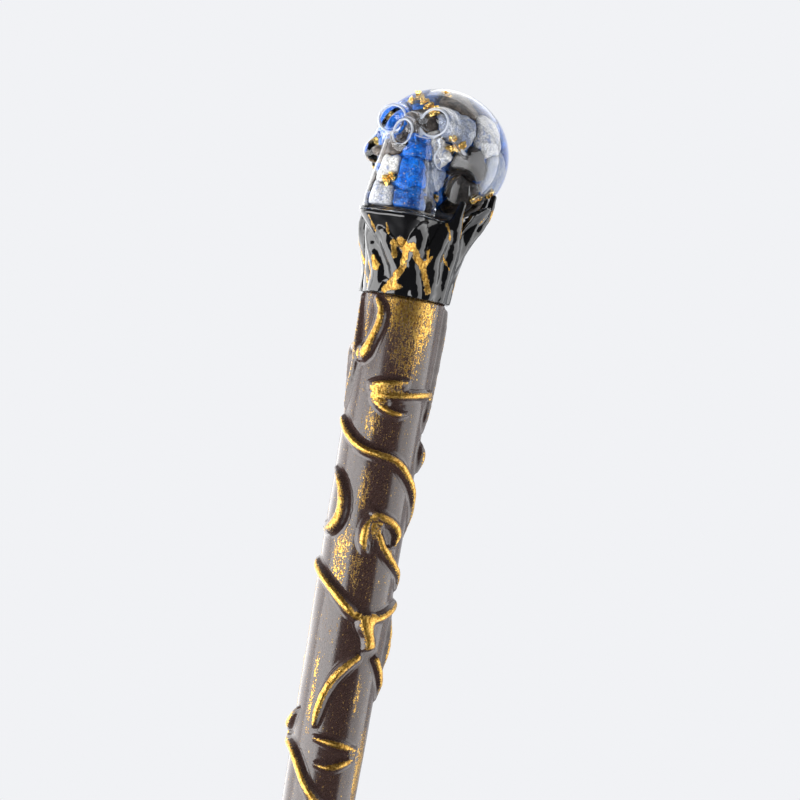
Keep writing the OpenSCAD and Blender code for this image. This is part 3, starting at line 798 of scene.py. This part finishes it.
def strand_line(points, triangles):
    """Centre points and radii up one CAD strand, from level slices of its skin."""
    corners = points[triangles]
    area = np.linalg.norm(np.cross(corners[:, 1] - corners[:, 0], corners[:, 2] - corners[:, 0]), axis=1)
    random = np.random.default_rng(3)
    pick = random.choice(len(triangles), STRAND_SPOTS, p=area / area.sum())
    u, v = random.random((2, STRAND_SPOTS, 1))
    u, v = np.where(u + v > 1, 1 - u, u), np.where(u + v > 1, 1 - v, v)
    first, second, third = corners[pick, 0], corners[pick, 1], corners[pick, 2]
    spots = first + u * (second - first) + v * (third - first)
    line = []
    for z in np.arange(points[:, 2].min() + 0.5, points[:, 2].max() - 0.2, SLICE_STEP):
        near = spots[np.abs(spots[:, 2] - z) < 0.3]
        if len(near) > 20:
            centre = near.mean(0)
            narrow = np.linalg.eigvalsh(np.cov((near - centre)[:, :2].T))[0]
            line.append((centre - [0, 0, SEAM], math.sqrt(2 * max(narrow, 0.04))))
    return line


def strands_distance(p, lines):
    """Distance to a group of strands, which flow into each other where they are close."""
    total = np.full(len(p), 9.0)
    for line in lines:
        one = np.full(len(p), 9.0)
        for (a, radius_a), (b, radius_b) in zip(line, line[1:]):
            one = np.minimum(one, tube(p, a, b, radius_a, radius_b))
        total = smooth_union(total, one, 1.8)
    return total + 0.12 * noise(p * [1, 1, 0.5], 1.6, 8) + 0.06 * noise(p, 0.8, 12)


# Gold brushed on the collar: half width, then the places it runs through, as [angle, height above the seam]
COLLAR_STROKES = [
    # two legs that part under the chin, and the bar at their feet
    (1.7, [(-75, 12), (-70, 11)]), (1.1, [(-70, 10), (-70, 7), (-80, 3), (-90, 1)]),
    (0.9, [(-65, 12), (-50, 8), (-40, 5), (-35, 2)]), (0.9, [(-90, 1.5), (-70, 2)]),
    # dabs on the roots beside them
    (0.9, [(-85, 12), (-80, 9)]), (0.8, [(-125, 7), (-115, 3)]), (0.9, [(-110, 8), (-105, 6)]),
    (0.5, [(-45, 8), (-40, 10)]), (0.4, [(-45, 12), (-45, 10)]), (0.35, [(-25, 11), (-10, 8)]),
    # short marks under the jaw and the cheek
    (0.5, [(-105, 17), (-105, 14)]), (0.35, [(-90, 16), (-90, 14)]), (0.6, [(-30, 18), (-25, 15)]),
    # lines up the edges of the outer roots
    (0.5, [(-150, 13), (-145, 7), (-120, 1)]), (0.7, [(-15, 22), (-10, 16)]), (0.6, [(10, 21), (10, 16)]),
    (0.35, [(20, 9), (15, 3)])
]
# One long line up each root behind
COLLAR_STROKES += [
    (0.65, [(turn, 24), (turn + 5, 16), (turn - 5, 8), (turn, 2)]) for turn in range(30, 180, 28)
]


def collar_gold(points):
    """How strongly gold is brushed on at each point of the collar."""
    angle = turn_of(points)
    radius = np.hypot(points[:, 0], points[:, 1])
    height = points[:, 2]
    total = np.zeros(len(points))
    fray = 0.3 * noise(points * [1, 1, 0.7], 1.3, 17) + 0.2 * noise(points, 0.6, 18)
    for width, stroke in COLLAR_STROKES:
        for (a0, h0), (a1, h1) in zip(stroke, stroke[1:]):
            across = np.radians(wrapped(angle - a0)) * radius
            up = height - h0
            dx, dy = math.radians(a1 - a0) * COLLAR_R, h1 - h0
            t = np.clip((across * dx + up * dy) / (dx * dx + dy * dy), 0, 1)
            away = np.hypot(across - t * dx, up - t * dy) + fray
            total = np.maximum(total, 1 - smoothstep(0.5 * width, 1.7 * width, away))
    return 0.62 * total + 0.08 * noise(points, 1.4, 21)


def make_collar(material):
    """The cup, and four groups of melted roots that flow out of it and clasp the skull."""
    step = 0.34
    low, high = np.array([-19, -19, -0.9]), np.array([19, 19, 26])

    def cup_and_bowl(p):
        return smooth_union(cup_distance(p), bowl_distance(p), 0.8)

    points, faces = solid_from(cup_and_bowl, low, high, step)
    fields = {"gold": collar_gold(points)}
    add_piece("cup", points + [0, 0, SEAM], faces, material, ["collar_cup"], fields)
    for node in ROOT_NODES:
        lines = [strand_line(*solid) for solid in solids_of(node)]
        low, high = (np.array(c) / MM - [0, 0, SEAM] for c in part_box(node))

        def distance(p, lines=lines):
            strands = strands_distance(p, lines)
            cup = cup_distance(p)
            flowing = smooth_union(cup, strands, 2.6)
            return np.maximum(np.maximum(flowing - 0.02, -(cup + 0.4)), np.maximum(strands - 1.4, -p[:, 2]))

        points, faces = solid_from(distance, low - 2, high + 2, step)
        fields = {"gold": collar_gold(points)}
        add_piece(node + "_look", points + [0, 0, SEAM], faces, material, [node], fields)


# ---- Skull. Its left and right sides mirror each other, so most of it is placed by x without its sign ----

SKULL_LOW, SKULL_HIGH = (np.array(c) / MM - [0, 0, SEAM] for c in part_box("skull_casting"))
CRANIUM_R = np.array([SKULL_HIGH[0], 17.5, 16.0])
CRANIUM_AT = np.array([0, SKULL_HIGH[1] - CRANIUM_R[1], SKULL_HIGH[2] - CRANIUM_R[2]])
JAW_FRONT = SKULL_LOW[1]
JAW_FOOT = SKULL_LOW[2]
JAW_HALF = 8
JAW_CORNER = 4
EYE_X = 5.6

# Upper edge of the cheek arch, from its front to its tip, which gets a pale painted highlight. Both arches
# have it
ARCH_FRONT = [11, -6, 35]
ARCH_TIP = [14.5, 2.5, 33.5]


def skull_distance(p):
    h = p[:, 2]
    q = np.stack([np.abs(p[:, 0]), p[:, 1], h], -1)
    bone = ellipsoid(p, CRANIUM_AT, CRANIUM_R)
    # bone round the eyes
    bone = smooth_union(bone, ellipsoid(q, [EYE_X, -7.4, 40.6], [4.6, 3.2, 4.2]), 1.4)
    # upper jaw, which narrows and leans back above its foot
    rise = np.clip(h - 22, 0, 14)
    leaning = np.stack([q[:, 0] + 0.14 * rise, q[:, 1] - 0.12 * rise], -1)
    jaw = round_box(leaning, [-JAW_HALF, JAW_FRONT], [JAW_HALF, -4.2], JAW_CORNER)
    bone = smooth_union(bone, np.maximum(jaw, h - 37), 2.0)
    # bridge of the nose
    bone = smooth_union(bone, tube(p, [0, -11.4, 41], [0, -13, 36], 2.0, 2.8), 1.6)
    # cheekbones and their arches
    bone = smooth_union(bone, tube(q, [9.6, -8.9, 33.1], [14.0, 2.6, 33.3], 2.8, 0.7), 0.6)
    bone = smooth_union(bone, tube(q, [8.6, -9.4, 37.4], [9.8, -8.0, 34.6], 1.2, 2.0), 1.2)
    # raised rims, then the hollows inside them
    bone = smooth_union(bone, ellipsoid(q, [EYE_X, -9.6, 40.9], [4.2, 2.6, 3.9]), 0.6)
    bone = smooth_union(bone, ellipsoid(p, [0, -13.6, 37.4], [3.1, 2.4, 3.8]), 0.8)
    bone = smooth_cut(bone, ellipsoid(q, [EYE_X, -12.8, 41.0], [3.6, 4.8, 3.3]), 0.2)
    bone = smooth_cut(bone, ellipsoid(p, [0, -16.6, 37.6], [2.4, 3.9, 3.1]), 0.2)
    # temples, then the hollows under the cheeks
    bone = smooth_cut(bone, ellipsoid(q, [15.2, -7, 40], [3.2, 5, 4.6]), 1.2)
    bone = smooth_cut(bone, ellipsoid(q, [12, -3.4, 26], [3.8, 5.2, 5.4]), 0.6)
    # thin flange where the casting meets the cup
    wide = JAW_HALF + 0.5
    plan = round_box(p, [-wide, JAW_FRONT - 0.4], [wide, 0], JAW_CORNER)
    flange = np.maximum(plan, h - JAW_FOOT - 0.5)
    bone = smooth_union(bone, flange, 0.7)
    return np.maximum(bone, JAW_FOOT - h)


def rim_highlight_of_skull(points):
    """From 0 to 1, how much of a thin or sharp edge the resin has at each point of its skin, which sets how
    strongly a pale painted highlight lies there; the upper edge of each cheek arch gets the painted highlight
    too.
    """
    inward = points - 0.55 * gradient(skull_distance, points)
    hollow = 1 - smoothstep(0.16, 0.36, -skull_distance(inward))
    mirrored = np.stack([np.abs(points[:, 0]), points[:, 1], points[:, 2]], -1)
    arch = tube(mirrored, ARCH_FRONT, ARCH_TIP, 1.2, 0.5)
    # the painted highlight along the upper edge of each cheek arch
    painted_edge_highlight = 1 - smoothstep(0.0, 0.5, arch)
    return np.maximum(hollow, 0.8 * painted_edge_highlight) * smoothstep(0.6, 1.4, points[:, 2] - JAW_FOOT)


def make_skull(material):
    step = 0.32
    points, faces = solid_from(skull_distance, SKULL_LOW - 1.2, SKULL_HIGH + 1.2, step)
    # The edge field: where the resin gets its pale painted highlight
    fields = {"edge": rim_highlight_of_skull(points)}
    add_piece("skull", points + [0, 0, SEAM], faces, material, ["skull_casting"], fields)


def ball(divisions):
    """Points and triangles of a unit ball with even facets."""
    mesh = bmesh.new()
    bmesh.ops.create_icosphere(mesh, subdivisions=divisions, radius=1.0)
    points = np.array([v.co for v in mesh.verts])
    faces = np.array([[v.index for v in f.verts] for f in mesh.faces])
    mesh.free()
    return points, faces


def spread(values, faces, rounds):
    """Values on a mesh's points, each averaged with its neighbours' that many times."""
    for _ in range(rounds):
        total = np.zeros(len(values))
        count = np.zeros(len(values))
        for a, b in ((0, 1), (1, 2), (2, 0)):
            np.add.at(total, faces[:, a], values[faces[:, b]])
            np.add.at(total, faces[:, b], values[faces[:, a]])
            np.add.at(count, faces[:, a], 1)
            np.add.at(count, faces[:, b], 1)
        values = 0.4 * values + 0.6 * total / count
    return values


STONE_SLOTS = {"lapis_chips": "lapis", "quartz_chips": "quartz", "smoky_chips": "smoky_stone"}
# Thickness of the clear skin over the stones, and the gap between two of them
STONE_SKIN = 1.5
STONE_GAP = 0.24
# A stone's shortest and longest reach from its centre, and how far off a neighbour still matters
SHORTEST = 0.3
LONGEST = 8.0
NEIGHBOUR = 17
# Room kept round the centre of each flake, and between the stones and the jaw's foot
FLAKE_ROOM = 1.3
FOOT_ROOM = 1.6

# Stones that show most, as [tone, weight]. In the face: each column's [x, y], then its stones from the jaw up
FACE_ROWS = [22, 28.5, 35]
FACE_TONES = [
    ([-3.5, -12.5], [(0.35, 1.1), (0.0, 1.1), (0.25, 1.0)]),
    ([2.5, -12.5], [(0.5, 0.95), (0.0, 1.15), (0.05, 1.0)]),
    ([4.5, -8], [(0.9, 0.8), (0.95, 1.2), (0.05, 1.0)])
]
# The face leans back above this height, by this much for each millimetre of height
LEAN_START = 30
FACE_LEAN = 0.3
# In the cranium: latitude, share of the radius, turn of the first and step, then the stones of that arc
CRANIUM_TONES = [
    (55, 0.72, -105, 60, [(0.45, 1.0), (0.0, 1.0), (0.75, 1.0)]),
    (22, 0.78, -130, 40, [(0.1, 1.1), (0.5, 0.8), (0.7, 1.1), (0.3, 1.2)]),
    (-12, 0.76, -110, 80, [(0.05, 1.1), (0.9, 1.0)]),
    (-12, 0.76, 10, 40, [(0.9, 1.1)]),
    (-42, 0.72, -25, 50, [(0.8, 1.1)])
]
# How far a stone's centre may be from its place in the pattern
TONE_REACH = 3


def toned_places():
    """Where the stones of chosen tones stand in the CAD's pattern, each with its tone and weight."""
    places = []
    for (x, y), column in FACE_TONES:
        for height, look in zip(FACE_ROWS, column):
            lean = FACE_LEAN * max(0, height - LEAN_START)
            places.append((np.array([x, y + lean, height]), *look))
    for latitude, share, first, step, arc in CRANIUM_TONES:
        up = math.radians(latitude)
        for k, look in enumerate(arc):
            turn = math.radians(first + step * k)
            way = [math.cos(up) * math.cos(turn), math.cos(up) * math.sin(turn), math.sin(up)]
            places.append((CRANIUM_AT + share * CRANIUM_R * way, *look))
    return places


def stones_of(node, random):
    """Each stone of a CAD node: its centre, its tone and its weight against its neighbours."""
    found = []
    places = toned_places()
    for points, _ in solids_of(node):
        centre = points.mean(0) - [0, 0, SEAM]
        away = [np.linalg.norm(centre - place) for place, _, _ in places]
        best = int(np.argmin(away))
        tone, weight = random.uniform(0, 1), random.uniform(0.6, 1.5)
        if away[best] < TONE_REACH:
            tone, weight = places[best][1:]
        found.append((centre, tone, weight))
    return found


FLAKES = [points.mean(0) - [0, 0, SEAM] for points, _ in solids_of("gold_foil")]


def stone_reach(unit, own, others):
    """How far a stone grows along each direction, before it meets a neighbour, a flake or the skin."""
    centre, _, weight = own
    ragged = np.zeros(len(unit))
    for rough in (0.0, 1.5):
        reach = np.full(len(unit), LONGEST)
        for other, _, other_weight in others:
            gap = other - centre
            size = np.linalg.norm(gap)
            if 0 < size < NEIGHBOUR:
                facing = unit @ (gap / size)
                side = 1 if tuple(other) > tuple(centre) else -1
                share = weight / (weight + other_weight)
                limit = (size * share - STONE_GAP / 2 + rough * side * ragged) / np.maximum(facing, 0.02)
                reach = np.where(facing > 0.02, np.minimum(reach, np.maximum(limit, SHORTEST)), reach)
        place = centre + reach[:, None] * unit
        ragged = noise(place, 2.6, 31) + 0.5 * noise(place, 1.1, 32)
    for _ in range(14):
        place = centre + reach[:, None] * unit
        out = np.maximum(skull_distance(place) + STONE_SKIN, JAW_FOOT + FOOT_ROOM - place[:, 2])
        for flake in FLAKES:
            out = np.maximum(out, FLAKE_ROOM - np.linalg.norm(place - flake, axis=1))
        reach = np.maximum(reach - np.maximum(out, 0) * 0.8, SHORTEST)
    return reach


def bedding_distance(p):
    """Distance to the fine grit that beds the stones and shows in the gaps between them."""
    inside = skull_distance(p) + STONE_SKIN + 1.0 + 0.25 * noise(p, 1.5, 51)
    return np.maximum(inside, JAW_FOOT + 2.2 - p[:, 2])


def make_stones(node, material, own, every):
    """Broken stones that fill the resin: angular where they meet, with worn corners."""
    unit, faces = ball(4)
    points, triangles, tones = [], [], []
    for i, stone_at in enumerate(own):
        reach = spread(stone_reach(unit, stone_at, every), faces, 1)
        points.append(stone_at[0] + [0, 0, SEAM] + reach[:, None] * unit)
        triangles.append(faces + i * len(unit))
        tones.append(np.full(len(unit), stone_at[1]))
    add_piece(
        node + "_look", np.concatenate(points), np.concatenate(triangles), material,
        [node], {"tone": np.concatenate(tones)},
    )


def make_bedding(material):
    points, faces = solid_from(bedding_distance, SKULL_LOW - 0.6, SKULL_HIGH + 0.6, 0.7)
    tone = 0.45 + 0.4 * noise(points, 3.0, 52)
    place = points + [0, 0, SEAM]
    add_piece("stone_bedding", place, faces, material, ["lapis_chips"], {"tone": tone})


def make_foil(material):
    """Crumpled flakes of foil, one at each CAD flake, thin and sharply creased."""
    unit, faces = ball(3)
    points, triangles = [], []
    for i, (cad_points, _) in enumerate(solids_of("gold_foil")):
        centre = cad_points.mean(0)
        size = np.linalg.norm(cad_points - centre, axis=1).max()
        axes = np.linalg.svd(cad_points - centre)[2]
        creased = 0.5 * np.abs(noise(unit, 0.5, i)) + 0.35 * noise(unit, 0.28, i + 30)
        local = unit * [1.2 * size, size, 0.6 * size] * (0.75 + creased[:, None])
        local[:, 2] += size * 0.4 * noise(unit * [1, 1, 0], 0.7, i + 60)
        points.append(centre + local @ axes)
        triangles.append(faces + i * len(unit))
    add_piece(
        "gold_foil_look", np.concatenate(points), np.concatenate(triangles), material,
        ["gold_foil"], smooth=False,
    )


# ---- Studio ----

# The camera: degrees from the skull's front, how far the wand leans in the picture, and the width it sees
VIEW_TURN = 27.0
LEAN = 9.7
FRAME_WIDTH = 190.5
LENS, SENSOR = 100.0, 36.0
# What it aims at: how far to the right of the axis, and how far below the seam
AIM_ACROSS, AIM_DROP = 3.1, 24.0
# The floor, in metres: its radius, where it starts to fade and where it is gone, and its drop below the tip
FLOOR_R = 0.72
FADE_FROM, FADE_TO = 0.45, 0.7
FLOOR_DROP = 0.0005


def studio_way(turn):
    """Level direction from the wand, turned from the camera's side towards the picture's right."""
    a = math.radians(VIEW_TURN + turn)
    return Vector((math.sin(a), -math.cos(a), 0))


def add_camera():
    right = studio_way(90)
    toward = studio_way(0)
    target = (right * AIM_ACROSS + Vector((0, 0, SEAM - AIM_DROP))) * MM
    lean = math.radians(LEAN)
    up = Vector((0, 0, 1)) * math.cos(lean) - right * math.sin(lean)
    side = right * math.cos(lean) + Vector((0, 0, 1)) * math.sin(lean)
    data = bpy.data.cameras.new("camera")
    data.lens, data.sensor_width = LENS, SENSOR
    data.clip_start, data.clip_end = 0.01, 20
    camera = put("camera", data)
    turn = Matrix((side, up, toward)).transposed().to_4x4()
    camera.matrix_world = Matrix.Translation(target + toward * (FRAME_WIDTH * LENS / SENSOR * MM)) @ turn
    bpy.context.scene.camera = camera


def add_softbox(name, turn, distance, width, height, z, radiance, colour=(1, 1, 1)):
    """A square studio lamp that faces the wand. Its place is a turn from the camera's side."""
    data = bpy.data.lights.new(name, "AREA")
    data.shape = "RECTANGLE"
    data.size, data.size_y = width, height
    data.energy = radiance * math.pi * width * height
    data.color = colour
    lamp = put(name, data)
    place = studio_way(turn) * distance + Vector((0, 0, z))
    lamp.matrix_world = Matrix.Translation(place) @ place.to_track_quat("Z", "Y").to_matrix().to_4x4()
    lamp.visible_camera = False


def add_world():
    """Pale paper behind the wand, and a dim room on the camera's side of it."""
    world = bpy.data.worlds.new("studio")
    bpy.context.scene.world = world
    nodes = Nodes(world)
    way = nodes.add("ShaderNodeTexCoord").outputs["Generated"]
    facing = {0: way, 1: tuple(-studio_way(0))}
    behind = nodes.add("ShaderNodeVectorMath", facing, operation="DOT_PRODUCT").outputs["Value"]
    share = nodes.ramp(behind, -0.25, 0.45)
    room = nodes.blend(share, (0.11, 0.11, 0.115, 1), (0.86, 0.87, 0.9, 1))
    lit = nodes.add("ShaderNodeBackground", {"Color": room, "Strength": 1.0})
    seen = nodes.add("ShaderNodeBackground", {"Color": rgb(241, 242, 245), "Strength": 1.0})
    path = nodes.add("ShaderNodeLightPath").outputs["Is Camera Ray"]
    both = nodes.add("ShaderNodeMixShader", {0: path, 1: lit.outputs[0], 2: seen.outputs[0]})
    nodes.add("ShaderNodeOutputWorld", {"Surface": both.outputs[0]})


def add_floor():
    """Pale round floor under the tip, which fades out towards its edge."""
    look = Look("floor")
    away = look.add("ShaderNodeVectorMath", {0: look.place}, operation="LENGTH").outputs["Value"]
    share = look.ramp(away, FADE_FROM, FADE_TO)
    pale = look.add("ShaderNodeBsdfDiffuse", {"Color": rgb(186, 187, 190)})
    clear = look.add("ShaderNodeBsdfTransparent")
    material = look.surface(
        look.add("ShaderNodeMixShader", {0: share, 1: pale.outputs[0], 2: clear.outputs[0]}).outputs[0]
    )
    bpy.ops.mesh.primitive_circle_add(vertices=96, radius=FLOOR_R, fill_type="NGON", location=(0, 0, 0))
    floor = bpy.context.object
    floor.name = "floor"
    floor.location.z = TIP * MM - FLOOR_DROP
    floor.data.materials.append(material)
    floor.visible_glossy = False


add_camera()
add_world()
add_floor()
add_softbox("left_softbox", -60, 0.7, 1.0, 0.62, -0.24, 7.5)
add_softbox("rim_softbox", -128, 0.8, 0.98, 1.3, -0.05, 3.2)
add_softbox("right_softbox", 88, 0.8, 0.95, 1.2, -0.1, 3.3)
add_softbox("top_softbox", 150, 0.6, 1.0, 0.6, 0.68, 1.4)
bpy.context.scene.view_settings.view_transform = "Standard"

make_shaft(shaft_paint())
VINE = vine_paint()
for node in VINE_NODES:
    make_vine(node, VINE)
make_collar(collar_resin())
make_skull(clear_resin())
LAPIS = lapis()
RANDOM = np.random.default_rng(11)
STONES = {node: stones_of(node, RANDOM) for node in STONE_SLOTS}
for node, look in (("lapis_chips", LAPIS), ("quartz_chips", quartz()), ("smoky_chips", smoky())):
    make_stones(node, look, STONES[node], sum(STONES.values(), []))
make_bedding(LAPIS)
make_foil(foil())

rod = frame["nodes"]["core_rod"]
rod.data.materials.clear()
rod.data.materials.append(bare_wood())
